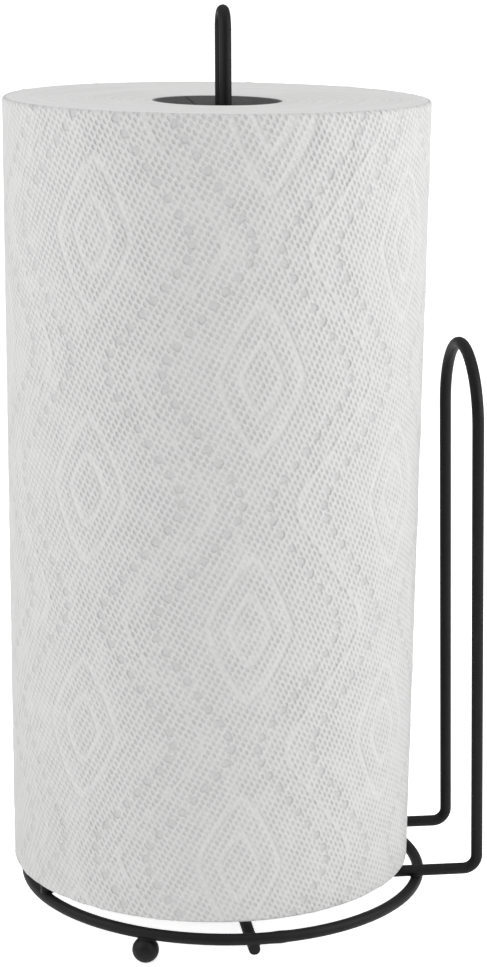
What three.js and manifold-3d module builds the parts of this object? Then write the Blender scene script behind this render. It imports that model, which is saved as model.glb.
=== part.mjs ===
// Wire paper towel holder with a roll of kitchen paper on its post.
// Millimetres, +Z up. The tear-off arm stands on the +X side, the post's feet run along Y.
// The origin is the middle of the whole object's footprint, on the surface it stands on.

import * as THREE from 'three';
import { mergeVertices } from 'three/addons/utils/BufferGeometryUtils.js';
import Module from 'manifold-3d';

const wasm = await Module();
wasm.setup();

// Wire stock and how it is welded
const WIRE_D = 4.3;             // 4.2 mm steel wire with its powder coat
const WELD_SINK = 0.7;          // how far crossing wires are pressed into each other
const WELD_GAP = 0.3;           // clearance left between welded pieces
const BEND_R = 5;               // tight bends, measured to the wire's centre line

// Paper roll that the holder is sized for
const ROLL_D = 149.6;
const ROLL_HEIGHT = 279;
const ROLL_RIM_R = 1.6;         // soft rounding of the roll's outer rim
const ROLL_X = -4.6;            // the loose roll sits off centre on its rails
const ROLL_Y = 0.7;
const CORE_INNER_D = 43.1;
const CORE_WALL = 0.7;
const CORE_RECESS = 1;          // core ends stop short of the paper's ends
const SHEET_STEP = 0.5;         // height of the last sheet's free edge
const SHEET_EDGE_DEG = 82;      // where that edge lies, from +X
const PAPER_GAP = 0.4;          // running clearance between paper and core
const REST_GAP = 0.3;           // between the rails and the roll

// Base ring
const RING_MARGIN = 3.2;        // how much wider the ring is than the roll

// Ball feet
const BALL_D = 9.6;
const BALL_FLAT_R = 1.5;        // worn flat that the ball stands on
const BALL_ANGLES_DEG = [-120, 30, 150];

// Centre post: a hairpin whose two legs turn outward under the ring
const POST_ABOVE_ROLL = 30.8;
const POST_WIDTH = 12;          // between the legs' centre lines
const POST_X = 1.9;             // the post's foot is a little off the ring's centre
const POST_TURN_DEG = -1.1;
const POST_LEAN_DEG = 0.9;      // the legs lean away from the arm

// Tear-off arm: an inverted U whose feet run under the roll as two rails
const ARM_TOP = 210.7;
const ARM_WIDTH = 51.4;         // between the legs' centre lines
const ARM_FROM_RING = 16.5;     // legs' centre line past the ring's outer edge, at the rails
const ARM_LEAN_DEG = 2.2;       // the legs lean in toward the roll
const RAIL_OVERHANG = 1.2;      // rail end past the ring's centre line, far side

// Facets
const WIRE_SIDES = 14;
const RING_STEPS = 80;
const BEND_STEP_DEG = 15;
const BALL_STEPS = 24;
const BALL_RINGS = 9;
const CORE_STEPS = 64;
const ROLL_STEPS = 120;
const EDGE_RAMP_DEG = 0.5;      // angle over which the free edge steps down

// Sizes that follow from the ones above
const WIRE_R = WIRE_D / 2;
const RING_OUTER_R = (ROLL_D + RING_MARGIN) / 2;
const RING_R = RING_OUTER_R - WIRE_R;
const BALL_R = BALL_D / 2;
const BALL_Z = Math.sqrt(BALL_R ** 2 - BALL_FLAT_R ** 2);
const RING_Z = BALL_Z + BALL_R + WIRE_R - WELD_SINK;
const FOOT_Z = RING_Z - WIRE_D + WELD_SINK;
const RAIL_Z = RING_Z + WIRE_D - WELD_SINK;
const ROLL_BASE = RAIL_Z + WIRE_R + REST_GAP;
const POST_TOP = ROLL_BASE + ROLL_HEIGHT + POST_ABOVE_ROLL;
const ARM_X = RING_OUTER_R + ARM_FROM_RING;
const CORE_OUTER_R = CORE_INNER_D / 2 + CORE_WALL;
const BORE_R = CORE_OUTER_R + PAPER_GAP;

const radians = THREE.MathUtils.degToRad;

// A wire's centre line as stations: few on the straights, several round each bend.
class BentWire extends THREE.Curve {
  constructor(stations) {
    super();
    this.stations = stations;
  }

  sample(t, key) {
    const last = this.stations.length - 1;
    const place = Math.min(Math.max(t * last, 0), last);
    const low = Math.min(Math.floor(place + 1e-9), last - 1);
    const from = this.stations[low][key];
    return from.clone().lerp(this.stations[low + 1][key], place - low);
  }

  getPointAt(t) {
    return this.sample(t, 'point');
  }

  getTangentAt(t) {
    return this.sample(t, 'tangent').normalize();
  }

  getSpacedPoints(divisions) {
    return Array.from({ length: divisions + 1 }, (_, i) => this.getPointAt(i / divisions));
  }
}

// Stations along a polyline whose inner corners are rounded to the given radii.
function roundedPath(corners, radii) {
  const stations = [];
  const add = (point, tangent) => {
    const last = stations.at(-1);
    if (!last || last.point.distanceTo(point) > 1e-6) {
      stations.push({ point, tangent });
    }
  };
  add(corners[0], corners[1].clone().sub(corners[0]).normalize());
  radii.forEach((radius, i) => {
    const corner = corners[i + 1];
    const into = corner.clone().sub(corners[i]).normalize();
    const out = corners[i + 2].clone().sub(corner).normalize();
    const turn = into.angleTo(out);
    const start = corner.clone().addScaledVector(into, -radius * Math.tan(turn / 2));
    const axis = new THREE.Vector3().crossVectors(into, out).normalize();
    const centre = start.clone().addScaledVector(axis.clone().cross(into), radius);
    const steps = Math.ceil(turn / radians(BEND_STEP_DEG) - 1e-6);
    for (let k = 0; k <= steps; k++) {
      const angle = (turn * k) / steps;
      const spoke = start.clone().sub(centre).applyAxisAngle(axis, angle);
      add(spoke.add(centre), into.clone().applyAxisAngle(axis, angle));
    }
  });
  const end = corners.at(-1);
  add(end, end.clone().sub(corners.at(-2)).normalize());
  return stations;
}

// Round wire swept along its stations, with flat sheared ends.
function wireGeometry(stations) {
  const section = new THREE.Shape();
  section.absarc(0, 0, WIRE_R, 0, 2 * Math.PI);
  return new THREE.ExtrudeGeometry(section, {
    curveSegments: WIRE_SIDES,
    steps: stations.length - 1,
    extrudePath: new BentWire(stations),
  });
}

function ringGeometry(grow) {
  const ring = new THREE.TorusGeometry(RING_R, WIRE_R + grow, WIRE_SIDES, RING_STEPS);
  return ring.translate(0, 0, RING_Z);
}

function toSolid(geometry) {
  const bare = geometry.clone();
  bare.deleteAttribute('normal');
  bare.deleteAttribute('uv');
  const welded = mergeVertices(bare, 1e-5);
  return new wasm.Manifold(new wasm.Mesh({
    numProp: 3,
    vertProperties: new Float32Array(welded.attributes.position.array),
    triVerts: new Uint32Array(welded.index.array),
  }));
}

function fromSolid(solid) {
  const mesh = solid.getMesh();
  const geometry = new THREE.BufferGeometry();
  geometry.setAttribute('position', new THREE.BufferAttribute(mesh.vertProperties, 3));
  geometry.setIndex(new THREE.BufferAttribute(mesh.triVerts, 1));
  geometry.computeVertexNormals();
  return geometry;
}

// The dent that the ring presses into a piece welded onto it.
function dentedByRing(geometry) {
  return fromSolid(toSolid(geometry).subtract(toSolid(ringGeometry(WELD_GAP))));
}

function powderCoatedSteel() {
  return new THREE.MeshStandardMaterial({ color: 0x1f1f21, roughness: 0.48, metalness: 0.25 });
}

function kitchenPaper() {
  return new THREE.MeshStandardMaterial({ color: 0xe9e9e7, roughness: 0.95, metalness: 0 });
}

function greyCardboard() {
  return new THREE.MeshStandardMaterial({ color: 0x8f7f6c, roughness: 0.9, metalness: 0 });
}

function named(name, geometry, material) {
  const mesh = new THREE.Mesh(geometry, material);
  mesh.name = name;
  return mesh;
}

function baseRing() {
  return named('base_ring', ringGeometry(0), powderCoatedSteel());
}

function ballFoot(index) {
  const profile = [new THREE.Vector2(0, -BALL_Z), new THREE.Vector2(BALL_FLAT_R, -BALL_Z)];
  const low = Math.asin(-BALL_Z / BALL_R);
  for (let k = 1; k < BALL_RINGS; k++) {
    const rise = low + ((Math.PI / 2 - low) * k) / BALL_RINGS;
    profile.push(new THREE.Vector2(BALL_R * Math.cos(rise), BALL_R * Math.sin(rise)));
  }
  profile.push(new THREE.Vector2(0, BALL_R));
  const around = radians(BALL_ANGLES_DEG[index]);
  const ball = new THREE.LatheGeometry(profile, BALL_STEPS).rotateX(Math.PI / 2);
  ball.translate(RING_R * Math.cos(around), RING_R * Math.sin(around), BALL_Z);
  return named(`ball_foot_${index + 1}`, dentedByRing(ball), powderCoatedSteel());
}

function centrePost() {
  const side = POST_WIDTH / 2;
  const top = POST_TOP - WIRE_R;
  const corners = [
    new THREE.Vector3(0, -RING_R, FOOT_Z),
    new THREE.Vector3(0, -side, FOOT_Z),
    new THREE.Vector3(0, -side, top),
    new THREE.Vector3(0, side, top),
    new THREE.Vector3(0, side, FOOT_Z),
    new THREE.Vector3(0, RING_R, FOOT_Z),
  ];
  const wire = wireGeometry(roundedPath(corners, [BEND_R, side, side, BEND_R]));
  wire.translate(0, 0, -FOOT_Z).rotateY(-radians(POST_LEAN_DEG)).translate(0, 0, FOOT_Z);
  wire.rotateZ(radians(POST_TURN_DEG)).translate(POST_X, 0, 0);
  return named('centre_post', dentedByRing(wire), powderCoatedSteel());
}

function tearOffArm() {
  const side = ARM_WIDTH / 2;
  const top = ARM_TOP - WIRE_R;
  const topX = ARM_X - (top - RAIL_Z) * Math.tan(radians(ARM_LEAN_DEG));
  const railEnd = -Math.sqrt(RING_R ** 2 - side ** 2) - RAIL_OVERHANG;
  const corners = [
    new THREE.Vector3(railEnd, -side, RAIL_Z),
    new THREE.Vector3(ARM_X, -side, RAIL_Z),
    new THREE.Vector3(topX, -side, top),
    new THREE.Vector3(topX, side, top),
    new THREE.Vector3(ARM_X, side, RAIL_Z),
    new THREE.Vector3(railEnd, side, RAIL_Z),
  ];
  const wire = wireGeometry(roundedPath(corners, [BEND_R, side, side, BEND_R]));
  return named('tear_off_arm', dentedByRing(wire), powderCoatedSteel());
}

function coreTube() {
  const inner = CORE_INNER_D / 2;
  const height = ROLL_HEIGHT - 2 * CORE_RECESS;
  const profile = [
    new THREE.Vector2(inner, 0),
    new THREE.Vector2(CORE_OUTER_R, 0),
    new THREE.Vector2(CORE_OUTER_R, height),
    new THREE.Vector2(inner, height),
    new THREE.Vector2(inner, 0),
  ];
  const tube = new THREE.LatheGeometry(profile, CORE_STEPS).rotateX(Math.PI / 2);
  const mesh = named('core_tube', tube, greyCardboard());
  mesh.position.z = CORE_RECESS;
  return mesh;
}

// Quarter-round corner of the roll's profile, from angle `from` to `from + 90` degrees.
function rimCorner(z, from) {
  const steps = 3;
  return Array.from({ length: steps + 1 }, (_, k) => {
    const angle = radians(from + (90 * k) / steps);
    const r = ROLL_D / 2 - ROLL_RIM_R + ROLL_RIM_R * Math.cos(angle);
    return new THREE.Vector2(r, z + ROLL_RIM_R * Math.sin(angle));
  });
}

// The wound paper: its outside shrinks by one sheet over a turn and steps back at the free edge.
function towelRoll() {
  const profile = [
    new THREE.Vector2(BORE_R, 0),
    ...rimCorner(ROLL_RIM_R, -90),
    ...rimCorner(ROLL_HEIGHT - ROLL_RIM_R, 0),
    new THREE.Vector2(BORE_R, ROLL_HEIGHT),
    new THREE.Vector2(BORE_R, 0),
  ];
  const roll = new THREE.LatheGeometry(profile, ROLL_STEPS);
  const place = roll.attributes.position;
  for (let i = 0; i <= ROLL_STEPS; i++) {
    const wound = Math.min(i / (ROLL_STEPS - 1), 1);
    const turned = (360 - EDGE_RAMP_DEG) * wound;
    const angle = radians(i < ROLL_STEPS ? turned : 0);
    const shrink = i < ROLL_STEPS ? SHEET_STEP * wound : 0;
    profile.forEach(({ x, y }, j) => {
      const r = x > BORE_R ? x - shrink : x;
      place.setXYZ(i * profile.length + j, r * Math.cos(angle), r * Math.sin(angle), y);
    });
  }
  roll.deleteAttribute('normal');
  roll.computeVertexNormals();
  roll.rotateZ(radians(SHEET_EDGE_DEG));
  return named('towel_roll', roll, kitchenPaper());
}

function paperRoll() {
  const roll = new THREE.Group();
  roll.name = 'paper_roll';
  roll.position.set(ROLL_X, ROLL_Y, ROLL_BASE);
  roll.add(coreTube(), towelRoll());
  return roll;
}

function wireHolder() {
  const holder = new THREE.Group();
  holder.name = 'wire_holder';
  holder.add(baseRing(), centrePost(), tearOffArm());
  BALL_ANGLES_DEG.forEach((_, index) => holder.add(ballFoot(index)));
  return holder;
}

function towelHolder() {
  const whole = new THREE.Group();
  whole.name = 'paper_towel_holder';
  whole.add(wireHolder(), paperRoll());
  const middle = new THREE.Box3().setFromObject(whole, true).getCenter(new THREE.Vector3());
  whole.position.set(-middle.x, -middle.y, 0);
  return whole;
}

export default towelHolder();
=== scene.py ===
# %% [markdown]
# # A paper towel holder, finished in Blender
# A black wire stand carries one roll of kitchen paper. The stand is bent from steel wire a
# little over 4 mm thick: a ring on three balls, a hairpin post, and a tall hoop that keeps
# the sheet from unrolling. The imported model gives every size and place, and this lesson
# gives each piece the shape and finish that the hand and the eye meet.

# %% Load the frame
import math

import bmesh
import bpy
from mathutils import Matrix, Vector


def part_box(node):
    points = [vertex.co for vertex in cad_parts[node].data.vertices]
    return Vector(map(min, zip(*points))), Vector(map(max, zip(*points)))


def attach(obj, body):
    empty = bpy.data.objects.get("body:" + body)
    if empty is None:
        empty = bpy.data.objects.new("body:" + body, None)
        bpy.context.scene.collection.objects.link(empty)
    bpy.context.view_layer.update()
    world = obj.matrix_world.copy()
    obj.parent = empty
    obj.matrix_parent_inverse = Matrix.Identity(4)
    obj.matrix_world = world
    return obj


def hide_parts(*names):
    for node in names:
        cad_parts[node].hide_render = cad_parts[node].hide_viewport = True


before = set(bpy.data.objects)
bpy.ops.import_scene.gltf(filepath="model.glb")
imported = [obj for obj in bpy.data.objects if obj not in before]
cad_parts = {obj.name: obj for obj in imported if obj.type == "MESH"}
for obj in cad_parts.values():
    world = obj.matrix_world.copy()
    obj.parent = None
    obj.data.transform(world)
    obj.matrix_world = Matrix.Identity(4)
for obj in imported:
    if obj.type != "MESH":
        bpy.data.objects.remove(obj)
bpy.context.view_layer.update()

print("nodes:", sorted(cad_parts))

# %% [markdown]
# ## Working measures
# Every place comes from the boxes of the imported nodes, so a piece fits with no nudging.
# Only what a box can't tell is written out: the wire's gauge, its bend radius, the depth of
# a weld and the roll's full radius. CUT_WITHIN is how near to a cut a point counts as on it.
# Bisect's own value is a tenth of a millimetre, which is too coarse for wire.

# %% Sizes and places
MM = 0.001
WIRE_D = 4.3 * MM
BEND_R = 5.0 * MM
WELD_SINK = 0.7 * MM
WIRE_SIDES = 24
CUT_WITHIN = 0.001 * MM


def node_box(name):
    low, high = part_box(name)
    return Vector(low), Vector(high)


ring_low, ring_high = node_box("base_ring")
RING_AT = (ring_low + ring_high) / 2
RING_R = (ring_high.y - ring_low.y - WIRE_D) / 2

post_low, post_high = node_box("centre_post")
arm_low, arm_high = node_box("tear_off_arm")

roll_low, roll_high = node_box("towel_roll")
core_low, core_high = node_box("core_tube")
ROLL_AT = (core_low + core_high) / 2
ROLL_AT.z = roll_low.z
ROLL_H = roll_high.z - roll_low.z
ROLL_R = 74.8 * MM

for label, size in (("ring", RING_R), ("roll height", ROLL_H), ("wire", WIRE_D)):
    print(f"{label}: {size / MM:.2f} mm")

# %% [markdown]
# ## Working by hand, in code
# Edit mode acts on what is selected, so each step first drops the old selection and then
# picks vertices, edges or faces by where they are. These small helpers hold that habit.

# %% Selection helpers
def nothing_selected():
    if bpy.context.object and bpy.context.object.mode != "OBJECT":
        bpy.ops.object.mode_set(mode="OBJECT")
    bpy.ops.object.select_all(action="DESELECT")


def open_piece(name):
    """Name the primitive just added, settle its place into its mesh, and open it."""
    piece = bpy.context.object
    piece.name = name
    piece.data.name = name
    bpy.ops.object.transform_apply(location=True, rotation=True, scale=True)
    bpy.ops.object.mode_set(mode="EDIT")
    bpy.ops.mesh.select_all(action="SELECT")
    return piece


def pick(kind, test):
    """Select the vertices, edges or faces that pass the test, and count them."""
    bpy.ops.mesh.select_mode(type=kind)
    bpy.ops.mesh.select_all(action="DESELECT")
    shape = bmesh.from_edit_mesh(bpy.context.object.data)
    parts = {"VERT": shape.verts, "EDGE": shape.edges, "FACE": shape.faces}[kind]
    chosen = [part for part in parts if test(part)]
    for part in chosen:
        part.select_set(True)
    shape.select_flush_mode()
    bmesh.update_edit_mesh(bpy.context.object.data)
    return len(chosen)


def close_piece(piece, angle=40):
    """Leave edit mode with outward faces, smooth but for edges sharper than the angle."""
    bpy.ops.object.mode_set(mode="EDIT")
    bpy.ops.mesh.select_mode(type="VERT")
    bpy.ops.mesh.select_all(action="SELECT")
    bpy.ops.mesh.remove_doubles(threshold=0.002 * MM)
    bpy.ops.mesh.normals_make_consistent(inside=False)
    bpy.ops.object.mode_set(mode="OBJECT")
    bpy.ops.object.shade_smooth_by_angle(angle=math.radians(angle))
    faces = sum(len(face.vertices) - 2 for face in piece.data.polygons)
    print(f"{piece.name}: {faces} triangles, {len(piece.modifiers)} modifiers")
    return piece


def apply_modifiers(piece):
    for modifier in list(piece.modifiers):
        bpy.ops.object.modifier_apply(modifier=modifier.name)


def fit(piece, body, slot, *nodes):
    """Say what the piece rides on and stands for. The slot is not used."""
    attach(piece, body)
    if nodes:
        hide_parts(*nodes)


# %% [markdown]
# ## The camera
# The stand is seen from a little above, about a metre off, with a long lens, so the roll's
# sides are nearly parallel. The lens is shifted, as on a view camera, because the frame
# shows more above the lens axis than below it.

# %% Camera
def set_camera(place, heading, pitch, roll, lens, shift_x, shift_y):
    data = bpy.data.cameras.new("view_camera")
    data.sensor_fit = "AUTO"
    data.sensor_width = 36
    data.lens = lens
    data.shift_x = shift_x
    data.shift_y = shift_y
    data.clip_end = 100
    camera = bpy.data.objects.new("view_camera", data)
    bpy.context.scene.collection.objects.link(camera)
    turn = (
        Matrix.Rotation(math.radians(heading), 4, "Z")
        @ Matrix.Rotation(math.radians(90 - pitch), 4, "X")
        @ Matrix.Rotation(math.radians(roll), 4, "Z")
    )
    camera.matrix_world = Matrix.Translation(place) @ turn
    bpy.context.scene.camera = camera
    return camera


set_camera(
    place=Vector((RING_AT.x, 0, 0)) + Vector((-131.5, -880.3, 362.4)) * MM,
    heading=-8.645,
    pitch=17.957,
    roll=0.638,
    lens=93.11,
    shift_x=0.0132,
    shift_y=0.2292,
)

# %% [markdown]
# ## Floor and light
# A white table and a white sky stand in for a light tent. The table glows a little, and a
# little more to the camera alone, so the contact shadows stay faint. A very wide sun is the
# tent's ceiling. Two soft boxes stand close, one on each side and a little in front. They
# lift the edges of the roll and draw the long grey highlights on the wire. The one on the
# right is stronger.

# %% Colour and node helpers
def hex_colour(code):
    """An sRGB hex colour as the linear values that a shader works in."""
    values = [int(code[place:place + 2], 16) / 255 for place in (1, 3, 5)]
    linear = [
        value / 12.92 if value <= 0.04045 else ((value + 0.055) / 1.055) ** 2.4
        for value in values
    ]
    return (*linear, 1.0)


def add(tree, kind, links=None, **settings):
    """Add a shader node: settings are its properties, links fill its inputs.

    A node given as a link stands for its first output.
    """
    node = tree.nodes.new("ShaderNode" + kind)
    for key, value in settings.items():
        setattr(node, key, value)
    for key, value in (links or {}).items():
        if isinstance(value, bpy.types.Node):
            value = value.outputs[0]
        if isinstance(value, bpy.types.NodeSocket):
            tree.links.new(value, node.inputs[key])
        else:
            node.inputs[key].default_value = value
    return node


def new_material(name):
    material = bpy.data.materials.new(name)
    material.use_nodes = True
    tree = material.node_tree
    tree.nodes.clear()
    return material, tree


# %% Floor
GLOW = 0.27
GLOW_SEEN = 0.45
FLOOR_SIZE = 60
FLOOR_CUTS = 8


def white_table():
    material, tree = new_material("matte_white_laminate")
    place = add(tree, "TexCoord")
    grain = add(tree, "TexNoise", {"Vector": place.outputs["Object"], "Scale": 12.0, "Detail": 3.0})
    whites = {"Factor": grain, 6: hex_colour("#fbfbfa"), 7: hex_colour("#fefefe")}
    tone = add(tree, "Mix", whites, data_type="RGBA")
    seen = add(tree, "LightPath")
    glow = add(
        tree,
        "Math",
        {0: seen.outputs["Is Camera Ray"], 1: GLOW_SEEN, 2: GLOW},
        operation="MULTIPLY_ADD",
    )
    finish = {
        "Base Color": tone.outputs[2],
        "Roughness": 0.9,
        "Specular IOR Level": 0.0,
        "Emission Color": hex_colour("#ffffff"),
        "Emission Strength": glow,
    }
    surface = add(tree, "BsdfPrincipled", finish)
    add(tree, "OutputMaterial", {"Surface": surface})
    return material


nothing_selected()
bpy.ops.mesh.primitive_plane_add(size=FLOOR_SIZE, location=(0, 0, 0))
floor = open_piece("table_top")
bpy.ops.mesh.subdivide(number_cuts=FLOOR_CUTS)
bpy.ops.object.mode_set(mode="OBJECT")
floor.data.materials.append(white_table())
print("table:", len(floor.data.polygons), "faces")


# %% Sky and soft boxes
SOFT_BOX_WIDTH = 1.0
SOFT_BOX_HEIGHT = 0.7
AIM = Vector((0, 0, 0.28))


def set_sky(code, strength):
    world = bpy.data.worlds.new("light_tent")
    world.use_nodes = True
    sky = world.node_tree.nodes["Background"]
    sky.inputs["Color"].default_value = hex_colour(code)
    sky.inputs["Strength"].default_value = strength
    bpy.context.scene.world = world


def soft_box(name, place, power):
    """A wide soft light of the given power in watts, aimed at the top of the roll."""
    data = bpy.data.lights.new(name, "AREA")
    data.shape = "RECTANGLE"
    data.size = SOFT_BOX_WIDTH
    data.size_y = SOFT_BOX_HEIGHT
    data.energy = power
    lamp = bpy.data.objects.new(name, data)
    lamp.location = place
    lamp.rotation_euler = (AIM - Vector(place)).to_track_quat("-Z", "Y").to_euler()
    bpy.context.scene.collection.objects.link(lamp)
    return lamp


def ceiling_light(strength, spread):
    data = bpy.data.lights.new("ceiling_light", "SUN")
    data.energy = strength
    data.angle = math.radians(spread)
    lamp = bpy.data.objects.new("ceiling_light", data)
    bpy.context.scene.collection.objects.link(lamp)


set_sky("#ffffff", 0.36)
ceiling_light(strength=0.86, spread=80)
soft_box("soft_box_right", place=(0.75, -0.35, 0.55), power=5.7)
soft_box("soft_box_left", place=(-0.75, -0.1, 0.55), power=4.0)
bpy.context.scene.view_settings.view_transform = "Standard"

# %% [markdown]
# ## Black powder coat
# The wire is sprayed with dry polyester powder and baked, which leaves a satin black skin
# about 70 µm thick. The eye gets a soft, slightly wavy highlight, called orange peel, a
# finer pebble inside it, and a hint of grey where dust and handling dull the gloss.

# %% Powder coat
def black_powder_coat():
    material, tree = new_material("satin_black_powder_coat")
    place = add(tree, "TexCoord").outputs["Object"]
    peel = add(
        tree, "TexNoise", {"Vector": place, "Scale": 1 / (1.6 * MM), "Detail": 2.0, "Roughness": 0.5}
    )
    pebble = add(
        tree, "TexNoise", {"Vector": place, "Scale": 1 / (0.35 * MM), "Detail": 2.0, "Roughness": 0.6}
    )
    handling = add(
        tree, "TexNoise", {"Vector": place, "Scale": 1 / (14 * MM), "Detail": 4.0, "Roughness": 0.55}
    )
    rough = add(tree, "MapRange", {0: handling, 1: 0.3, 2: 0.7, 3: 0.44, 4: 0.58})
    blacks = {"Factor": pebble, 6: hex_colour("#08080a"), 7: hex_colour("#121213")}
    tone = add(tree, "Mix", blacks, data_type="RGBA")
    wave = add(tree, "Bump", {"Strength": 0.35, "Distance": 0.05 * MM, "Height": peel})
    grain = add(
        tree, "Bump", {"Strength": 0.3, "Distance": 0.02 * MM, "Height": pebble, "Normal": wave}
    )
    finish = {
        "Base Color": tone.outputs[2],
        "Roughness": rough,
        "IOR": 1.5,
        "Specular IOR Level": 0.22,
        "Normal": grain,
    }
    surface = add(tree, "BsdfPrincipled", finish)
    add(tree, "OutputMaterial", {"Surface": surface})
    return material


powder_coat = black_powder_coat()
print("powder coat:", len(powder_coat.node_tree.nodes), "nodes")

# %% [markdown]
# ## Bending wire
# A wire could be a curve with a round bevel, but bending it as the workshop does keeps the
# bends true: a circle of 24 points is drawn out straight, then swung about the centre of a
# bend, then drawn out again. Draw and swing are Extrude and Spin. Spin turns the other way
# round from the right-hand rule, so the helper gives it the opposite angle.

# %% Draw and swing
DEGREES_PER_STEP = 7.5


def cut_wire(name, place, along):
    """Start a wire: an open circle of its gauge, facing along its first run."""
    nothing_selected()
    bpy.ops.mesh.primitive_circle_add(
        vertices=WIRE_SIDES,
        radius=WIRE_D / 2,
        fill_type="NOTHING",
        location=place,
        rotation=Vector(along).to_track_quat("Z", "Y").to_euler(),
    )
    return open_piece(name)


def draw(step):
    bpy.ops.mesh.extrude_region_move(TRANSFORM_OT_translate={"value": tuple(step)})


def swing(centre, axis, degrees):
    steps = max(2, round(abs(degrees) / DEGREES_PER_STEP))
    bpy.ops.mesh.spin(
        steps=steps,
        angle=-math.radians(degrees),
        center=tuple(centre),
        axis=tuple(axis),
    )


def cap_wire(rim=0.45 * MM):
    """Close both cut ends and take off their sharp rims, as the tumbler does."""
    bpy.ops.mesh.select_mode(type="EDGE")
    bpy.ops.mesh.select_all(action="DESELECT")
    bpy.ops.mesh.select_non_manifold()
    bpy.ops.mesh.fill_holes(sides=0)
    rims = pick("EDGE", lambda edge: any(len(face.verts) > 4 for face in edge.link_faces))
    bpy.ops.mesh.bevel(offset=rim, segments=3, affect="EDGES")
    return rims


# %% [markdown]
# ## The post
# One wire makes the post and the bar under the ring: in from one side, up, over the top in
# a tight hairpin, down, and out to the other side. Its two legs stand 12 mm apart, so the
# loose roll turns round both of them. A hand-loaded weld is never quite true: the post leans
# by a degree and its bar lies a degree off square, so the wire is bent upright first and
# then tilted and turned about its foot. Rotate, like Spin, is given the opposite angle.

# %% Bend the post
POST_TURN = -1.1
POST_LEAN = 0.9
LEG_Y = 6 * MM
FOOT_Z = RING_AT.z - WIRE_D + WELD_SINK
FOOT_X = RING_AT.x + 1.9 * MM
HAIRPIN_Z = (
    FOOT_Z
    + (post_high.z - FOOT_Z - WIRE_D / 2 - LEG_Y) / math.cos(math.radians(POST_LEAN))
)

post = cut_wire("post_wire", (FOOT_X, -RING_R, FOOT_Z), (0, 1, 0))
draw((0, RING_R - LEG_Y - BEND_R, 0))
swing((FOOT_X, -LEG_Y - BEND_R, FOOT_Z + BEND_R), (1, 0, 0), 90)
draw((0, 0, HAIRPIN_Z - FOOT_Z - BEND_R))
swing((FOOT_X, 0, HAIRPIN_Z), (1, 0, 0), -180)
draw((0, 0, FOOT_Z + BEND_R - HAIRPIN_Z))
swing((FOOT_X, LEG_Y + BEND_R, FOOT_Z + BEND_R), (1, 0, 0), 90)
draw((0, RING_R - LEG_Y - BEND_R, 0))
print("cut rims:", cap_wire(), "edges")
bpy.ops.mesh.select_all(action="SELECT")
for degrees, axis in ((-POST_LEAN, "Y"), (POST_TURN, "Z")):
    bpy.ops.transform.rotate(
        value=-math.radians(degrees),
        orient_axis=axis,
        center_override=(FOOT_X, 0, FOOT_Z),
    )
close_piece(post)
post.data.materials.append(powder_coat)
fit(post, "wire_holder", "powder_coated_wire", "centre_post")
post_x = [vertex.co.x for vertex in post.data.vertices]
print(f"post x: {min(post_x) / MM:.2f} to {max(post_x) / MM:.2f} mm")
print(f"packed: {post_low.x / MM:.2f} to {post_high.x / MM:.2f} mm")

# %% [markdown]
# ## The tear-off arm
# A second wire lies across the ring as two rails, turns up outside the roll, and closes in
# a wide arch. Its legs lean in by two degrees, so the arch rests close to the paper. The
# lean is only a direction: each straight run is drawn along it, and the arch is swung in
# the leaning plane.

# %% Bend the arm
ARM_LEAN = math.radians(2.2)
ARM_FROM_RING = 16.5 * MM
RAIL_Y = (arm_high.y - arm_low.y - WIRE_D) / 2
RAIL_Z = RING_AT.z + WIRE_D - WELD_SINK
RAIL_START = arm_low.x
CORNER_X = RING_AT.x + RING_R + WIRE_D / 2 + ARM_FROM_RING
lean_up = Vector((-math.sin(ARM_LEAN), 0, math.cos(ARM_LEAN)))
lean_out = Vector((math.cos(ARM_LEAN), 0, math.sin(ARM_LEAN)))
turn_up = 90 + math.degrees(ARM_LEAN)
tangent = BEND_R * math.tan(math.radians(turn_up / 2))
arch_middle_z = arm_high.z - (WIRE_D / 2 + RAIL_Y) * lean_up.z
leg_length = (arch_middle_z - RAIL_Z) / lean_up.z - tangent
rail_length = CORNER_X - tangent - RAIL_START
near_centre = Vector((RAIL_START + rail_length, -RAIL_Y, RAIL_Z + BEND_R))
far_centre = Vector((near_centre.x, RAIL_Y, near_centre.z))
arch_centre = Vector((CORNER_X, 0, RAIL_Z)) + lean_up * (tangent + leg_length)

arm = cut_wire("arm_wire", (RAIL_START, -RAIL_Y, RAIL_Z), (1, 0, 0))
draw((rail_length, 0, 0))
swing(near_centre, (0, 1, 0), -turn_up)
draw(lean_up * leg_length)
swing(arch_centre, lean_out, -180)
draw(-lean_up * leg_length)
swing(far_centre, (0, 1, 0), turn_up)
draw((-rail_length, 0, 0))
print("cut rims:", cap_wire(), "edges")
close_piece(arm)
arm.data.materials.append(powder_coat)
fit(arm, "wire_holder", "powder_coated_wire", "tear_off_arm")
print("arm top:", round(max(v.co.z for v in arm.data.vertices) / MM, 2), "mm")

# %% [markdown]
# ## The ring
# The ring is wire rolled into a circle and butt-welded, so it is a torus with one low
# swelling where the two ends were upset together. The swelling is made by choosing the one
# section at the weld and scaling it with a soft fall-off.

# %% Roll the ring
RING_STEPS = 240
BUTT_WELD_AT = -83

nothing_selected()
bpy.ops.mesh.primitive_torus_add(
    major_radius=RING_R,
    minor_radius=WIRE_D / 2,
    major_segments=RING_STEPS,
    minor_segments=WIRE_SIDES,
    location=RING_AT,
)
ring = open_piece("ring_wire")
weld_way = Vector((
    math.cos(math.radians(BUTT_WELD_AT)),
    math.sin(math.radians(BUTT_WELD_AT)),
    0,
))
weld_at = RING_AT + weld_way * RING_R


def along_ring(place):
    """How far a point is from the butt weld, measured along the ring."""
    return (place - weld_at).dot(Vector((-weld_way.y, weld_way.x, 0)))


def near_weld(corner):
    return (corner.co - weld_at).length < 4 * MM and abs(along_ring(corner.co)) < 1.2 * MM


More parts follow.
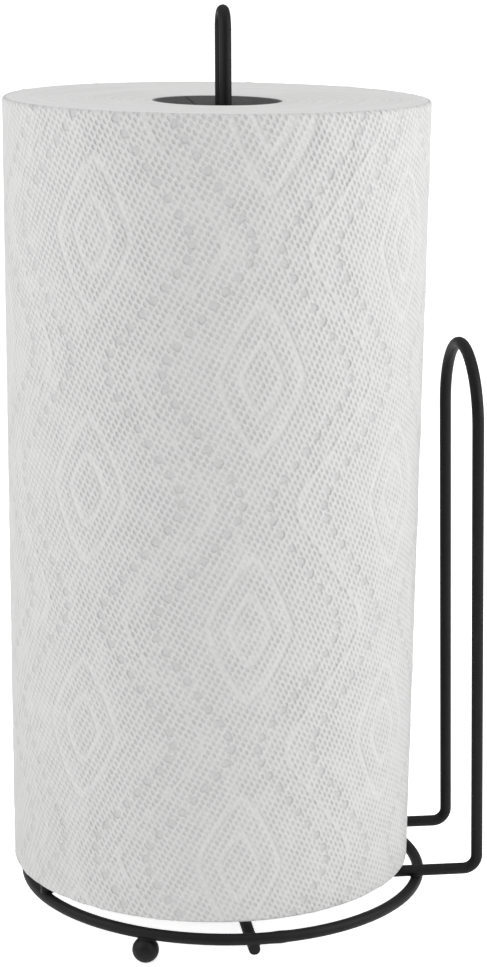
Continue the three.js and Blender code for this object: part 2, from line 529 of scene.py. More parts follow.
print("weld section:", pick("VERT", near_weld), "points")
bpy.ops.transform.resize(
    value=(1.09, 1.09, 1.09),
    center_override=tuple(weld_at),
    use_proportional_edit=True,
    proportional_edit_falloff="SMOOTH",
    proportional_size=3.5 * MM,
    use_proportional_connected=True,
)
close_piece(ring)
ring.data.materials.append(powder_coat)
fit(ring, "wire_holder", "powder_coated_wire", "base_ring")

# %% [markdown]
# ## Ball feet
# Three steel balls lift the ring. Each is a sphere with a small flat worn where it stands.
# The sphere is cut by a plane at the table and the cut is closed, and its rim is eased. One
# foot is made and the others are copies with their own meshes.

# %% Balls
BALL_D = 9.6 * MM


def ball_middle(number):
    low, high = node_box(f"ball_foot_{number}")
    return Vector(((low.x + high.x) / 2, (low.y + high.y) / 2, high.z - BALL_D / 2))


first_ball_at = ball_middle(1)
first_ball_at.z = RING_AT.z - WIRE_D / 2 - BALL_D / 2 + WELD_SINK
nothing_selected()
bpy.ops.mesh.primitive_uv_sphere_add(
    segments=48,
    ring_count=24,
    radius=BALL_D / 2,
    location=first_ball_at,
)
ball = open_piece("ball_1")
bpy.ops.mesh.bisect(
    plane_co=(0, 0, 0),
    plane_no=(0, 0, 1),
    use_fill=True,
    clear_inner=True,
    threshold=CUT_WITHIN,
)
pick("EDGE", lambda edge: all(abs(corner.co.z) < 0.001 * MM for corner in edge.verts))
bpy.ops.mesh.bevel(offset=0.25 * MM, segments=2, affect="EDGES")
close_piece(ball, 50)
ball.data.materials.append(powder_coat)
balls = [ball]
for number in (2, 3):
    nothing_selected()
    ball.select_set(True)
    bpy.context.view_layer.objects.active = ball
    step = ball_middle(number) - ball_middle(1)
    step.z = 0
    bpy.ops.object.duplicate(linked=False)
    copy = bpy.context.object
    copy.name = f"ball_{number}"
    copy.location = step
    bpy.ops.object.transform_apply(location=True, rotation=False, scale=False)
    balls.append(copy)
for number, one in enumerate(balls, 1):
    fit(one, "wire_holder", "powder_coated_wire", f"ball_foot_{number}")
print("balls:", [one.name for one in balls])

# %% [markdown]
# ## Welds
# Where wires cross they are pressed together hot, and sink about 0.7 mm into each other.
# The metal that is pushed out fills the corner, and the coat softens it. Two short stubs
# are joined, remeshed into one skin and smoothed: smoothing fills the corner and draws the
# rest of the skin just inside the wires, so only the fillet shows.

# %% Weld fillets
STUB_SLIM = 0.03 * MM
STUB_LENGTH = 9.5 * MM
SHORT_STUB = 7.5 * MM


def stub(place, along, length=STUB_LENGTH):
    bpy.ops.mesh.primitive_cylinder_add(
        vertices=WIRE_SIDES,
        radius=WIRE_D / 2 - STUB_SLIM,
        depth=length,
        location=place,
        rotation=Vector(along).to_track_quat("Z", "Y").to_euler(),
    )
    return bpy.context.object


def fuse(name, stubs, above=None):
    """Join stubs and melt their corner into a fillet; keep only what is above a level."""
    nothing_selected()
    for one in stubs:
        one.select_set(True)
    bpy.context.view_layer.objects.active = stubs[0]
    bpy.ops.object.join()
    weld = open_piece(name)
    bpy.ops.object.mode_set(mode="OBJECT")
    skin = weld.modifiers.new("skin", "REMESH")
    skin.mode = "VOXEL"
    skin.voxel_size = 0.28 * MM
    melt = weld.modifiers.new("melt", "SMOOTH")
    melt.factor = 0.5
    melt.iterations = 26
    apply_modifiers(weld)
    if above is not None:
        bpy.ops.object.mode_set(mode="EDIT")
        bpy.ops.mesh.select_all(action="SELECT")
        bpy.ops.mesh.bisect(
            plane_co=(0, 0, above),
            plane_no=(0, 0, 1),
            use_fill=True,
            clear_inner=True,
            threshold=CUT_WITHIN,
        )
    close_piece(weld, 80)
    weld.data.materials.append(powder_coat)
    fit(weld, "wire_holder", "powder_coated_wire")
    return weld


def ring_at(x=None, y=None, side=1):
    """The point of the ring's centre line at a given x or y, and the way it runs there."""
    if y is not None:
        across = y - RING_AT.y
        point = Vector((side * math.sqrt(RING_R**2 - across**2), across, 0))
    else:
        across = x - RING_AT.x
        point = Vector((across, side * math.sqrt(RING_R**2 - across**2), 0))
    return RING_AT + point, Vector((-point.y, point.x, 0)).normalized()


weld_number = 0
for side in (-1, 1):
    turn = math.radians(POST_TURN)
    bar = Vector((-math.sin(turn), math.cos(turn), 0))
    crossing_x = FOOT_X + bar.x * side * RING_R
    place, along = ring_at(x=crossing_x, side=side)
    bar_at = Vector((crossing_x, place.y - side * 2 * MM, FOOT_Z))
    nothing_selected()
    weld_number += 1
    fuse(f"weld_{weld_number}", [stub(place, along), stub(bar_at, bar, SHORT_STUB)])
for side in (-1, 1):
    for y in (-RAIL_Y, RAIL_Y):
        place, along = ring_at(y=y, side=side)
        inward = 2 * MM if side < 0 else 0
        rail_at = Vector((place.x + inward, y, RAIL_Z))
        nothing_selected()
        weld_number += 1
        fuse(f"weld_{weld_number}", [stub(place, along), stub(rail_at, (1, 0, 0), SHORT_STUB)])
for number in (1, 2, 3):
    middle_at = ball_middle(number)
    way = Vector((middle_at.x - RING_AT.x, middle_at.y - RING_AT.y, 0)).normalized()
    place = RING_AT + way * RING_R
    nothing_selected()
    bpy.ops.mesh.primitive_uv_sphere_add(
        segments=32,
        ring_count=20,
        radius=BALL_D / 2 - 2 * STUB_SLIM,
        location=(middle_at.x, middle_at.y, first_ball_at.z),
    )
    knob = bpy.context.object
    weld_number += 1
    ring_stub = stub(place, (-way.y, way.x, 0), 7 * MM)
    fuse(f"weld_{weld_number}", [knob, ring_stub], above=first_ball_at.z)
print("welds:", weld_number)

# %% [markdown]
# ## The cardboard core
# A core is wound from two plies of grey board on a slant, like a drinking straw, so a thin
# seam climbs the inside. A rectangle as wide as a strip and as thick as a ply is swept up
# its helix by a Screw modifier, then both ends are sawn level. The top is sawn half a
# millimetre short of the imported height.

# %% Wind the core
CORE_OUTER_R = (core_high.y - core_low.y) / 2
CORE_INNER_R = 21.55 * MM
PLY = (CORE_OUTER_R - CORE_INNER_R) / 2
STRIP_PITCH = 96 * MM
SEAM = 0.5 * MM
CORE_SUNK = 0.5 * MM


def wind_ply(name, inner, phase):
    """A helical strip from inner to inner + one ply, sawn to the core's length."""
    nothing_selected()
    bpy.ops.mesh.primitive_plane_add(size=1, rotation=(math.pi / 2, 0, 0))
    ply = open_piece(name)
    bpy.ops.transform.resize(value=(PLY, 1, STRIP_PITCH - SEAM), center_override=(0, 0, 0))
    bpy.ops.transform.translate(value=(inner + PLY / 2, 0, -STRIP_PITCH))
    bpy.ops.mesh.delete(type="ONLY_FACE")
    bpy.ops.object.mode_set(mode="OBJECT")
    wind = ply.modifiers.new("wind", "SCREW")
    wind.axis = "Z"
    wind.screw_offset = STRIP_PITCH
    wind.iterations = 5
    wind.steps = 72
    wind.render_steps = 72
    wind.use_merge_vertices = True
    wind.merge_threshold = 0.001 * MM
    apply_modifiers(ply)
    bpy.ops.object.mode_set(mode="EDIT")
    bpy.ops.mesh.select_all(action="SELECT")
    bpy.ops.transform.rotate(value=phase, orient_axis="Z", center_override=(0, 0, 0))
    bpy.ops.transform.translate(value=(ROLL_AT.x, ROLL_AT.y, core_low.z))
    for level, up in ((core_low.z, 1), (core_high.z - CORE_SUNK, -1)):
        bpy.ops.mesh.select_all(action="SELECT")
        bpy.ops.mesh.bisect(
            plane_co=(0, 0, level),
            plane_no=(0, 0, up),
            use_fill=True,
            clear_inner=True,
            threshold=CUT_WITHIN,
        )
    return ply


inner_ply = wind_ply("core_inner_ply", CORE_INNER_R, 0.4)
close_piece(inner_ply, 35)
outer_ply = wind_ply("core_outer_ply", CORE_INNER_R + PLY, 3.1)
close_piece(outer_ply, 35)
print(f"core radius: {CORE_INNER_R / MM:.2f} to {CORE_OUTER_R / MM:.2f} mm")

# %% [markdown]
# ## Grey core board
# Core board is pulped waste paper: warm grey, dull, with darker and lighter fibres lying
# the way the strip was wound, and small flecks of ink and bark.

# %% Core board
def grey_core_board():
    material, tree = new_material("wound_grey_core_board")
    place = add(tree, "TexCoord").outputs["Object"]
    laid = add(
        tree,
        "Mapping",
        {"Vector": place, "Location": (-ROLL_AT.x, -ROLL_AT.y, 0), "Scale": (1, 1, 3)},
    )
    fibre = add(
        tree, "TexNoise", {"Vector": laid, "Scale": 1 / (0.9 * MM), "Detail": 5.0, "Roughness": 0.65}
    )
    fleck = add(tree, "TexNoise", {"Vector": place, "Scale": 1 / (1.1 * MM), "Detail": 1.0})
    cloud = add(tree, "TexNoise", {"Vector": place, "Scale": 1 / (9 * MM), "Detail": 2.0})
    tone = add(tree, "ValToRGB", {"Fac": fibre})
    tone.color_ramp.elements[0].position = 0.3
    tone.color_ramp.elements[0].color = hex_colour("#5a5a5b")
    tone.color_ramp.elements[1].position = 0.72
    tone.color_ramp.elements[1].color = hex_colour("#898989")
    dirt = add(tree, "MapRange", {0: fleck, 1: 0.66, 2: 0.74, 3: 0.0, 4: 0.6})
    flecks = {"Factor": dirt, 6: tone.outputs["Color"], 7: hex_colour("#363637")}
    flecked = add(tree, "Mix", flecks, data_type="RGBA")
    patches = {"Factor": cloud, 6: flecked.outputs[2], 7: hex_colour("#717171")}
    patchy = add(tree, "Mix", patches, data_type="RGBA")
    bump = add(tree, "Bump", {"Strength": 0.6, "Distance": 0.12 * MM, "Height": fibre})
    finish = {
        "Base Color": patchy.outputs[2],
        "Roughness": 0.92,
        "IOR": 1.45,
        "Specular IOR Level": 0.3,
        "Normal": bump,
    }
    surface = add(tree, "BsdfPrincipled", finish)
    add(tree, "OutputMaterial", {"Surface": surface})
    return material


core_board = grey_core_board()
print("core board:", len(core_board.node_tree.nodes), "nodes")
for ply in (inner_ply, outer_ply):
    ply.data.materials.append(core_board)
fit(inner_ply, "roll_core", "core_board", "core_tube")
fit(outer_ply, "roll_core", "core_board", "core_tube")

# %% [markdown]
# ## The quilting
# Kitchen paper is two plies pressed between rollers. Upright chains of diamonds alternate
# with wavy bands: each band is a plain ridge with a row of dots on both sides. The columns
# are 61 mm apart and repeat every 86 mm up. The paper goes on the roll a little askew, so
# the columns lean and the rows climb, and the pattern breaks off at the free edge. One
# function says how deep the paper is pressed at a point, so the mesh can carry the
# quilting as real relief.

# %% Where the quilting lies
COLUMN = 61 * MM
REPEAT_UP = 86 * MM
SHEET_EDGE = 82
FIRST_COLUMN = -87.5
FIRST_COLUMN_TURN = math.radians((FIRST_COLUMN - SHEET_EDGE) % 360)
CLIMB = 0.045
DIAMONDS_AT = 21.4 * MM
SLANT = 0.033
SWAY = 14.3 * MM
POINTED = 0.07
RIDGE_AT = 29.2 * MM
DOTS_FROM_RIDGE = 10.2 * MM
DOT_STEP = REPEAT_UP / 18
DIAMOND_HALF_WIDTH = 14.6 * MM
DIAMOND_HALF_HEIGHT = 25 * MM
INNER_DIAMOND = 0.48
ROUNDED = 1.3
PRESS_WIDTH = 1.3 * MM
REST_DEPTH = 0.4
DOT_PRESS = 0.5
LINE_PRESS = 0.45
DIAMOND_GRADE = (
    DIAMOND_HALF_WIDTH * DIAMOND_HALF_HEIGHT
    / math.hypot(DIAMOND_HALF_WIDTH, DIAMOND_HALF_HEIGHT)
)


def fold(value, half):
    """Distance from the nearest whole multiple of two halves."""
    return abs((value + half) % (2 * half) - half)


def sway(phase):
    """The bands' side-to-side wave, a cosine with slightly pointed turns."""
    return (math.cos(phase) + POINTED * math.cos(3 * phase)) / (1 + POINTED)


def soft(distance, width):
    return math.exp(-((distance / width) ** 2))


def diamond(wide, tall):
    """1 on a diamond whose corners are a little round, less inside it."""
    wide = (wide / DIAMOND_HALF_WIDTH) ** ROUNDED
    tall = (tall / DIAMOND_HALF_HEIGHT) ** ROUNDED
    return (wide + tall) ** (1 / ROUNDED)


def from_first_column(angle):
    """Length of paper from the first column, whose sheet starts at the free edge."""
    return (math.radians((angle - SHEET_EDGE) % 360) - FIRST_COLUMN_TURN) * ROLL_R


def pressed(round_about, up):
    """Depth of the pressing, 0 proud to 1 deep, from the place round and up the roll."""
    across = fold(round_about - SLANT * (up - ROLL_H / 2), COLUMN)
    rise = up - DIAMONDS_AT + CLIMB * round_about
    level = fold(rise, REPEAT_UP / 2)
    from_ridge = abs(across - SWAY * sway(2 * math.pi * rise / REPEAT_UP) - RIDGE_AT)
    dot_rise = round(rise / DOT_STEP) * DOT_STEP
    dot_sway = SWAY * sway(2 * math.pi * dot_rise / REPEAT_UP)
    beside_dot = abs(across - dot_sway - RIDGE_AT) - DOTS_FROM_RIDGE
    to_dot = math.hypot(beside_dot, rise - dot_rise)
    nearest = min(
        diamond(across, level),
        diamond(COLUMN - across, REPEAT_UP / 2 - level),
    )
    lines = [abs(nearest - size) * DIAMOND_GRADE for size in (1.0, INNER_DIAMOND)]
    depth = (
        REST_DEPTH
        - REST_DEPTH * soft(from_ridge, PRESS_WIDTH)
        + DOT_PRESS * soft(to_dot, PRESS_WIDTH)
        + LINE_PRESS * soft(min(lines), PRESS_WIDTH)
    )
    return max(0.0, min(1.0, depth))


print(f"columns round the roll: {2 * math.pi * ROLL_R / COLUMN:.1f}")

# %% [markdown]
# ## The roll of paper
# The roll starts as an open cylinder. Cuts up its side give it enough points to carry the
# quilting. The open ends are drawn in to the bore, the bore is bridged, and the rims are
# rounded by a bevel. Winding pulls the middle of each end in by 1.4 mm, so the bore's rim
# is pushed in with a soft fall-off that reaches nearly to the outside.

# %% Wind the roll
SIDE_STEPS = 360
SIDE_ROWS = (2, 93)
END_RINGS = 14
BORE_R = 22.65 * MM
RIM_R = 1.4 * MM

nothing_selected()
bpy.ops.mesh.primitive_cylinder_add(
    vertices=SIDE_STEPS,
    radius=ROLL_R,
    depth=ROLL_H,
    end_fill_type="NOTHING",
    location=ROLL_AT + Vector((0, 0, ROLL_H / 2)),
    rotation=(0, 0, math.radians(SHEET_EDGE)),
)
roll = open_piece("towel_paper_roll")


def is_upright(edge):
    first, second = edge.verts
    return abs(first.co.z - second.co.z) > 1 * MM


def at_level(level):
    def test(edge):
        return all(abs(corner.co.z - level) < 0.01 * MM for corner in edge.verts)
    return test


for rows in SIDE_ROWS:
    print("side edges cut:", pick("EDGE", is_upright))
    bpy.ops.mesh.subdivide(number_cuts=rows - 1)
for level in (roll_low.z, roll_high.z):
    pick("EDGE", at_level(level))
    radius = ROLL_R
    for ring_number in range(1, END_RINGS + 1):
        wanted = ROLL_R + (BORE_R - ROLL_R) * ring_number / END_RINGS
        bpy.ops.mesh.extrude_edges_move()
        bpy.ops.transform.resize(
            value=(wanted / radius, wanted / radius, 1),
            center_override=(ROLL_AT.x, ROLL_AT.y, level),
        )
        radius = wanted
bpy.ops.mesh.select_all(action="DESELECT")
bpy.ops.mesh.select_non_manifold()
bpy.ops.mesh.bridge_edge_loops()


# %% Round the rims
def polar(place):
    """Distance from the roll's axis, and the angle round it in degrees."""
    x = place.x - ROLL_AT.x
    y = place.y - ROLL_AT.y
    return math.hypot(x, y), math.degrees(math.atan2(y, x))


def on_rim(edge):
    ends = [corner.co for corner in edge.verts]
    return all(
        min(abs(end.z - roll_low.z), abs(end.z - roll_high.z)) < 0.01 * MM
        and abs(polar(end)[0] - ROLL_R) < 0.05 * MM
        for end in ends
    )


print("rim edges:", pick("EDGE", on_rim))
bpy.ops.mesh.bevel(offset=RIM_R, segments=4, affect="EDGES")

# %% Dish the ends
DISH = 1.4 * MM
DISH_REACH = 47 * MM


def on_bore(level):
    def test(corner):
        return abs(corner.co.z - level) < 0.01 * MM and polar(corner.co)[0] < BORE_R + 1 * MM
    return test


for level, inward in ((roll_low.z, 1), (roll_high.z, -1)):
    print("bore points:", pick("VERT", on_bore(level)))
    bpy.ops.transform.translate(
        value=(0, 0, inward * DISH),
        use_proportional_edit=True,
        proportional_edit_falloff="SMOOTH",
        proportional_size=DISH_REACH,
        use_proportional_connected=True,
    )
close_piece(roll, 60)

# %% [markdown]
# ## Pressing the paper
# The depth of the pressing is painted on as vertex weights and a Displace modifier sinks
# the points by it, along their normals. A second group lets the edges of the wound layers
# on both ends stand a little uneven, as they do after the log saw. Everything only sinks,
# so the roll keeps its outer size.

# %% Press the quilting
PRESS_DEPTH = 0.45 * MM
END_DEPTH = 0.35 * MM


def uneven(radius, angle):
    """How far the edges of the layers have slipped, from 0 to 1."""
    turn = math.radians(angle)
    slow = math.sin(radius / (2.9 * MM) + 1.3 * math.sin(turn))
    quick = math.sin(radius / (1.3 * MM) + 2.1 * math.sin(2 * turn + 1))
    return 0.5 + 0.28 * slow + 0.22 * quick


def sink(piece, name, weights, depth):
    group = piece.vertex_groups.new(name=name)
    for index, weight in weights.items():
        group.add([index], weight, "REPLACE")
    press = piece.modifiers.new(name, "DISPLACE")
    press.direction = "NORMAL"
    press.vertex_group = name
    press.mid_level = 0.0
    press.strength = -depth


side_weights = {}
end_weights = {}
for vertex in roll.data.vertices:
    radius, angle = polar(vertex.co)
    if radius > ROLL_R - 0.7 * RIM_R:
        round_about = from_first_column(angle)
        side_weights[vertex.index] = pressed(round_about, vertex.co.z - roll_low.z)
    elif radius > BORE_R + 1 * MM:
        end_weights[vertex.index] = uneven(radius, angle)
sink(roll, "quilting", side_weights, PRESS_DEPTH)
sink(roll, "layer_ends", end_weights, END_DEPTH)
apply_modifiers(roll)
print("pressed points:", len(side_weights), "on the side,", len(end_weights), "on the ends")

# %% [markdown]
# ## The free edge
# Unrolled, the outside would be one sheet lower after each turn. The points are moved one by
# one here, because the step is a spiral that no modifier makes: the radius falls evenly
# round the roll, and the last column is drawn up close to the edge so the step is steep.

# %% Step the sheet
SHEET_STEP = 0.5 * MM
EDGE_STEEPNESS = 0.9
EDGE_SLACK = 0.2
LAST_COLUMN = 358.5

for vertex in roll.data.vertices:
    radius, angle = polar(vertex.co)
    if radius < BORE_R + 1 * MM:
        continue
    wound = ((angle - SHEET_EDGE + EDGE_SLACK) % 360 - EDGE_SLACK) / 360
    turn = math.radians(angle + (EDGE_STEEPNESS if wound > LAST_COLUMN / 360 else 0))
    outward = min(1.0, (radius - BORE_R) / (10 * MM))
    radius -= SHEET_STEP * max(0.0, wound) * outward
    vertex.co.x = ROLL_AT.x + radius * math.cos(turn)
    vertex.co.y = ROLL_AT.y + radius * math.sin(turn)
print(f"widest: {max(polar(vertex.co)[0] for vertex in roll.data.vertices) / MM:.2f} mm")

# %% [markdown]
# ## Kitchen paper
# The paper is creped, bleached tissue: matte, a little fuzzy, and soft white. Its finish
# repeats the quilting in nodes, from the same measures as the mesh, so its crisper lines lie
# in the mesh's soft ones. First every point needs its place on the roll: the angle round it,
# and the height up it in millimetres.

# %% Place on the roll
def place_on_roll(tree, place):
    centred = add(tree, "Mapping", {"Vector": place, "Location": tuple(-ROLL_AT)})
    split = add(tree, "SeparateXYZ", {"Vector": centred})
    angle = add(tree, "Math", {0: split.outputs["Y"], 1: split.outputs["X"]}, operation="ARCTAN2")
    up = add(tree, "Math", {0: split.outputs["Z"], 1: 1 / MM}, operation="MULTIPLY")
    return angle, up


# %% [markdown]
# ## Knurling
# Between the quilted lines the paper is covered by rows of small slanting pits, under 2 mm
# apart, which is what the eye reads as cloth. They are three sets of waves that cross. Each
# set is a whole number of waves round the roll, and a number of waves for each millimetre up.

# %% Pits
PIT_WAVES = ((-109, -0.47), (-284, -0.27), (175, -0.20))


def knurled_pits(tree, angle, up):
    """1 in the middle of a pit, 0 between the pits."""
    waves = None
    for round_count, per_mm in PIT_WAVES:
        slope = 2 * math.pi * per_mm
        turn = add(tree, "Math", {0: angle, 1: round_count}, operation="MULTIPLY")
        phase = add(tree, "Math", {0: up, 1: slope, 2: turn}, operation="MULTIPLY_ADD")
        wave = add(tree, "Math", {0: phase}, operation="COSINE")
        waves = add(tree, "Math", {0: waves, 1: wave}, operation="ADD") if waves else wave
    return add(tree, "MapRange", {0: waves, 1: -1.3, 2: 2.8}, interpolation_type="SMOOTHSTEP")


# %% [markdown]
# ## Columns and rows
# The nodes do the sums of `pressed`, in millimetres. A ping-pong node folds a length back
# and forth, so it gives the distance from the nearest column or row.

# %% Columns and rows
def quilting_place(tree, angle, up):
    """Distance from the nearest column, and height above the first row of diamonds."""
    from_edge = add(tree, "Math", {0: angle, 1: math.radians(SHEET_EDGE)}, operation="SUBTRACT")
    wound = add(tree, "Math", {0: from_edge, 1: 2 * math.pi}, operation="FLOORED_MODULO")
    turned = add(tree, "Math", {0: wound, 1: FIRST_COLUMN_TURN}, operation="SUBTRACT")
    round_about = add(tree, "Math", {0: turned, 1: ROLL_R / MM}, operation="MULTIPLY")
    lean = SLANT * ROLL_H / 2 / MM
    slanted = add(tree, "Math", {0: up, 1: -SLANT, 2: lean}, operation="MULTIPLY_ADD")
    straight = add(tree, "Math", {0: slanted, 1: round_about}, operation="ADD")
    across = add(tree, "Math", {0: straight, 1: COLUMN / MM}, operation="PINGPONG")
    start = -DIAMONDS_AT / MM
    climb = add(tree, "Math", {0: round_about, 1: CLIMB, 2: start}, operation="MULTIPLY_ADD")
    rise = add(tree, "Math", {0: up, 1: climb}, operation="ADD")
    return across, rise


# %% [markdown]
# ## Bands
# The ridge sways with the height of the point. A dot has to stay round on a slope, so its
# sway is taken at the dot's own height, which a snap node finds.

# %% Ridge and dots
RIDGE_FADE = (1.6, 0.3)
DOT_FADE = (1.9, 0.8)


def wavy_bands(tree, across, rise):
    """1 on the ridge and 1 on the dots beside it, fading to 0."""
    step = DOT_STEP / MM
    half_up = add(tree, "Math", {0: rise, 1: step / 2}, operation="ADD")
    dot_height = add(tree, "Math", {0: half_up, 1: step}, operation="SNAP")
    waves_per_mm = 2 * math.pi / (REPEAT_UP / MM)
    reach = -SWAY / MM / (1 + POINTED)
    from_ridges = []
    for height in (rise, dot_height):
        phase = add(tree, "Math", {0: height, 1: waves_per_mm}, operation="MULTIPLY")
        slow = add(tree, "Math", {0: phase}, operation="COSINE")
        triple = add(tree, "Math", {0: phase, 1: 3.0}, operation="MULTIPLY")
        quick = add(tree, "Math", {0: triple}, operation="COSINE")
        pointed = add(tree, "Math", {0: quick, 1: POINTED, 2: slow}, operation="MULTIPLY_ADD")
        swayed = add(tree, "Math", {0: pointed, 1: reach, 2: across}, operation="MULTIPLY_ADD")
        offset = add(tree, "Math", {0: swayed, 1: RIDGE_AT / MM}, operation="SUBTRACT")
        from_ridges.append(add(tree, "Math", {0: offset}, operation="ABSOLUTE"))
    beside = add(tree, "Math", {0: from_ridges[1], 1: DOTS_FROM_RIDGE / MM}, operation="SUBTRACT")
    above = add(tree, "Math", {0: rise, 1: step / 2}, operation="PINGPONG")
    dot_place = add(tree, "CombineXYZ", {"X": beside, "Y": above})
    to_dot = add(tree, "VectorMath", {0: dot_place}, operation="LENGTH").outputs["Value"]
    bands = []
    for distance, (far, near) in ((from_ridges[0], RIDGE_FADE), (to_dot, DOT_FADE)):
        fade = {0: distance, 1: far, 2: near}
        bands.append(add(tree, "MapRange", fade, interpolation_type="SMOOTHSTEP"))
    return bands


# %% [markdown]
# ## Nested diamonds
# A size of 1 is the outer diamond and a smaller size is the inner one. Folding the size
# about the value half-way between them draws both lines at once.

# %% Diamonds
LINE_FADE = (1.4 * MM / DIAMOND_GRADE, 0.3 * MM / DIAMOND_GRADE)


def nested_diamonds(tree, across, rise):
    """1 on the lines of the diamonds, fading to 0."""
    level = add(tree, "Math", {0: rise, 1: REPEAT_UP / 2 / MM}, operation="PINGPONG")
    sizes = []
    for column, row in ((0, 0), (COLUMN / MM, REPEAT_UP / 2 / MM)):
        powers = []
        for distance, middle, half in (
            (across, column, DIAMOND_HALF_WIDTH),
            (level, row, DIAMOND_HALF_HEIGHT),
        ):
            off = add(tree, "Math", {0: distance, 1: middle}, operation="SUBTRACT")
            off = add(tree, "Math", {0: off}, operation="ABSOLUTE")
            off = add(tree, "Math", {0: off, 1: half / MM}, operation="DIVIDE")
            powers.append(add(tree, "Math", {0: off, 1: ROUNDED}, operation="POWER"))
        both = add(tree, "Math", {0: powers[0], 1: powers[1]}, operation="ADD")
        sizes.append(add(tree, "Math", {0: both, 1: 1 / ROUNDED}, operation="POWER"))
    off = add(tree, "Math", {0: sizes[0], 1: sizes[1]}, operation="MINIMUM")
    for fold_at in ((1 + INNER_DIAMOND) / 2, (1 - INNER_DIAMOND) / 2):
        off = add(tree, "Math", {0: off, 1: fold_at}, operation="SUBTRACT")
        off = add(tree, "Math", {0: off}, operation="ABSOLUTE")
    fade = {0: off, 1: LINE_FADE[0], 2: LINE_FADE[1]}
    return add(tree, "MapRange", fade, interpolation_type="SMOOTHSTEP")


# %% [markdown]
# ## Perforation
# A row of short cuts lets a sheet tear off. Each cut is nearly 4 mm long, with a bridge
# every 5 mm.

# %% Perforation
PERFORATION = -133
CUT_FADE = (0.5 * MM / ROLL_R, 0.15 * MM / ROLL_R)
HALF_BRIDGE_STEP = 2.5


def perforation(tree, angle, up):
    off = add(tree, "Math", {0: angle, 1: math.radians(PERFORATION)}, operation="SUBTRACT")
    off = add(tree, "Math", {0: off}, operation="ABSOLUTE")
    fade = {0: off, 1: CUT_FADE[0], 2: CUT_FADE[1]}
    line = add(tree, "MapRange", fade, interpolation_type="SMOOTHSTEP")
    bridges = add(tree, "Math", {0: up, 1: HALF_BRIDGE_STEP}, operation="PINGPONG")
    cuts = add(tree, "MapRange", {0: bridges, 1: 0.4, 2: 0.9})
    return add(tree, "Math", {0: line, 1: cuts}, operation="MULTIPLY")


# %% [markdown]
# ## Crepe, creases and tired pits
# Three noises keep the pressing from looking ruled. Fine crepe lies all over. Slow puckers
# swell near the top, where hands crease the roll. Patches of pits are pressed less deep, and
# pits fade on the dots, lines and ridges.

# %% Worn relief
CREASED_TOP = 60
PITS_LEFT_ON_DOTS = 0.2
PITS_LEFT_ON_LINES = 0.45
PITS_LEFT_ON_RIDGES = 0.5


def paper_noise(tree, place, size, detail, roughness):
    settings = {"Vector": place, "Scale": 1 / size, "Detail": detail, "Roughness": roughness}
    return add(tree, "TexNoise", settings)


def creases(tree, place, up):
    """Slow puckers that grow towards the top rim."""
    pucker = paper_noise(tree, place, 16 * MM, 3.0, 0.5)
    top = ROLL_H / MM
    rising = {0: up, 1: top - CREASED_TOP, 2: top, 3: 1.0, 4: 2.4}
    near_top = add(tree, "MapRange", rising, interpolation_type="SMOOTHSTEP")
    return add(tree, "Math", {0: pucker, 1: near_top}, operation="MULTIPLY")


def tired_pits(tree, place, pits, dots, lines, ridge):
    """The pits, weaker in patches and on what is pressed over them."""
    patches = paper_noise(tree, place, 9 * MM, 4.0, 0.6)
    strength = add(tree, "MapRange", {0: patches, 1: 0.32, 2: 0.6, 3: 0.6, 4: 1.0})
    for pressing, left in (
        (dots, PITS_LEFT_ON_DOTS),
        (lines, PITS_LEFT_ON_LINES),
        (ridge, PITS_LEFT_ON_RIDGES),
    ):
        faded = add(tree, "MapRange", {0: pressing, 3: 1.0, 4: left})
        strength = add(tree, "Math", {0: strength, 1: faded}, operation="MULTIPLY")
    return add(tree, "Math", {0: pits, 1: strength}, operation="MULTIPLY")


# %% [markdown]
# ## The sheet as a whole
# All the layers add up to one height in millimetres, which a Bump node turns to relief. The
# pits and dots also carry painted shade: their colour is darkened for the shade in them.

# %% Embossed kitchen paper
PIT_DEPTH = 0.46
LINE_DEPTH = 0.32
RIDGE_HEIGHT = 0.24
DOT_DEPTH = 0.52
CUT_DEPTH = 0.1
CREPE_HEIGHT = 0.22
CREASE_HEIGHT = 1.4
# Painted shade: how far the pits and the dots are darkened towards grey.
PAINTED_SHADE_IN_PITS = 0.36
PAINTED_SHADE_IN_DOTS = 0.33


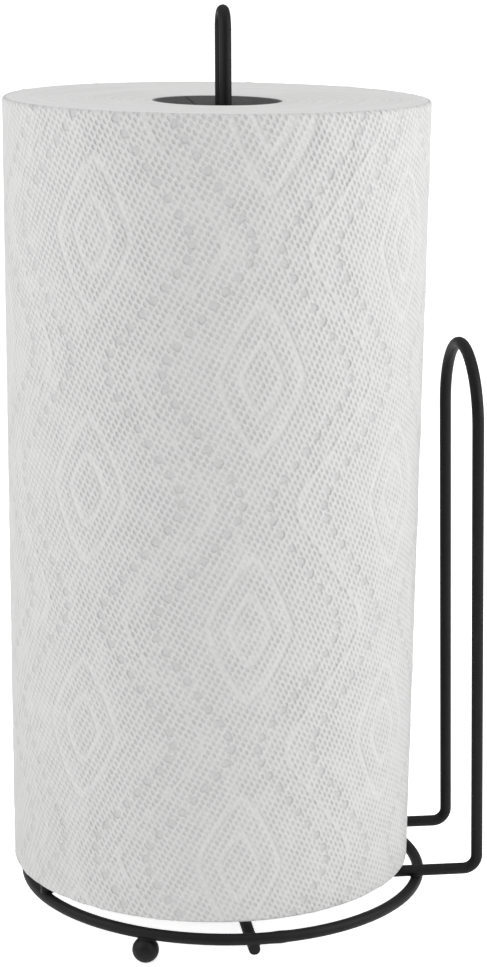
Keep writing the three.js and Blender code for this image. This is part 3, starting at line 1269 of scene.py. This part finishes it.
def embossed_kitchen_paper():
    material, tree = new_material("embossed_kitchen_paper")
    place = add(tree, "TexCoord").outputs["Object"]
    angle, up = place_on_roll(tree, place)
    across, rise = quilting_place(tree, angle, up)
    ridge, dots = wavy_bands(tree, across, rise)
    lines = nested_diamonds(tree, across, rise)
    crepe = paper_noise(tree, place, 1.7 * MM, 4.0, 0.6)
    pits = tired_pits(tree, place, knurled_pits(tree, angle, up), dots, lines, ridge)
    height = add(tree, "Math", {0: pits, 1: -PIT_DEPTH}, operation="MULTIPLY")
    for layer, rising in (
        (lines, -LINE_DEPTH),
        (ridge, RIDGE_HEIGHT),
        (dots, -DOT_DEPTH),
        (perforation(tree, angle, up), -CUT_DEPTH),
        (crepe, CREPE_HEIGHT),
        (creases(tree, place, up), CREASE_HEIGHT),
    ):
        height = add(tree, "Math", {0: layer, 1: rising, 2: height}, operation="MULTIPLY_ADD")
    bump = add(tree, "Bump", {"Strength": 1.0, "Distance": MM, "Height": height})
    # Painted shade: the pits and dots are darkened towards #a4a4a5, for the shade that falls in them.
    grey = add(tree, "Math", {0: pits, 1: PAINTED_SHADE_IN_PITS}, operation="MULTIPLY")
    shade = {0: dots, 1: PAINTED_SHADE_IN_DOTS, 2: grey}
    grey = add(tree, "Math", shade, operation="MULTIPLY_ADD", use_clamp=True)
    whites = {"Factor": crepe, 6: hex_colour("#c9c9c9"), 7: hex_colour("#d1d1d0")}
    white = add(tree, "Mix", whites, data_type="RGBA")
    tones = {"Factor": grey, 6: white.outputs[2], 7: hex_colour("#a4a4a5")}
    tone = add(tree, "Mix", tones, data_type="RGBA")
    finish = {
        "Base Color": tone.outputs[2],
        "Roughness": 0.95,
        "IOR": 1.47,
        "Specular IOR Level": 0.2,
        "Sheen Weight": 0.1,
        "Sheen Roughness": 0.6,
        "Normal": bump,
    }
    surface = add(tree, "BsdfPrincipled", finish)
    add(tree, "OutputMaterial", {"Surface": surface})
    return material


kitchen_paper = embossed_kitchen_paper()
print("kitchen paper:", len(kitchen_paper.node_tree.nodes), "nodes")

# %% [markdown]
# ## The cut ends
# On the ends the eye sees the edges of about a hundred turns of paper, each about 0.5 mm
# thick, blended to faint rings. They are drawn as noise that runs round the axis, fine
# across the layers and long along them, with a little fuzz over it.

# %% Cut layers
def sawn_paper_layers():
    material, tree = new_material("sawn_paper_layers")
    place = add(tree, "TexCoord").outputs["Object"]
    centred = add(tree, "Mapping", {"Vector": place, "Location": tuple(-ROLL_AT)})
    split = add(tree, "SeparateXYZ", {"Vector": centred})
    flat = add(tree, "CombineXYZ", {"X": split.outputs["X"], "Y": split.outputs["Y"]})
    radius = add(tree, "VectorMath", {0: flat}, operation="LENGTH")
    way = add(tree, "VectorMath", {0: flat}, operation="NORMALIZE")
    way_split = add(tree, "SeparateXYZ", {"Vector": way})
    deep = add(tree, "Math", {0: radius.outputs["Value"], 1: 1 / (0.9 * MM)}, operation="MULTIPLY")
    ring_place = add(
        tree, "CombineXYZ", {"X": way_split.outputs["X"], "Y": way_split.outputs["Y"], "Z": deep}
    )
    rings = add(
        tree, "TexNoise", {"Vector": ring_place, "Scale": 1.0, "Detail": 3.0, "Roughness": 0.6}
    )
    fuzz = add(
        tree, "TexNoise", {"Vector": place, "Scale": 1 / (1.1 * MM), "Detail": 4.0, "Roughness": 0.6}
    )
    height = add(tree, "Math", {0: fuzz, 1: 0.35, 2: rings}, operation="MULTIPLY_ADD")
    bump = add(tree, "Bump", {"Strength": 1.0, "Distance": 0.3 * MM, "Height": height})
    # Painted light: these whites are set lighter than the side's so the up-facing ends read brighter;
    # the ring tones across them are the layers' own.
    tone = add(tree, "ValToRGB", {"Fac": rings})
    tone.color_ramp.elements[0].position = 0.25
    tone.color_ramp.elements[0].color = hex_colour("#d0d0d0")
    tone.color_ramp.elements[1].position = 0.7
    tone.color_ramp.elements[1].color = hex_colour("#e2e2e1")
    finish = {
        "Base Color": tone.outputs["Color"],
        "Roughness": 0.95,
        "IOR": 1.47,
        "Specular IOR Level": 0.2,
        "Sheen Weight": 0.1,
        "Sheen Roughness": 0.6,
        "Normal": bump,
    }
    surface = add(tree, "BsdfPrincipled", finish)
    add(tree, "OutputMaterial", {"Surface": surface})
    return material


roll.data.materials.append(kitchen_paper)
roll.data.materials.append(sawn_paper_layers())
end_faces = 0
for face in roll.data.polygons:
    radius, _ = polar(face.center)
    if radius < ROLL_R - RIM_R - 0.6 * MM:
        face.material_index = 1
        end_faces += 1
print("faces of cut layers:", end_faces)
fit(roll, "roll_paper", "towel_paper", "towel_roll")

# %% [markdown]
# ## Finish
# The selection is cleared.

# %% Clear the selection
nothing_selected()
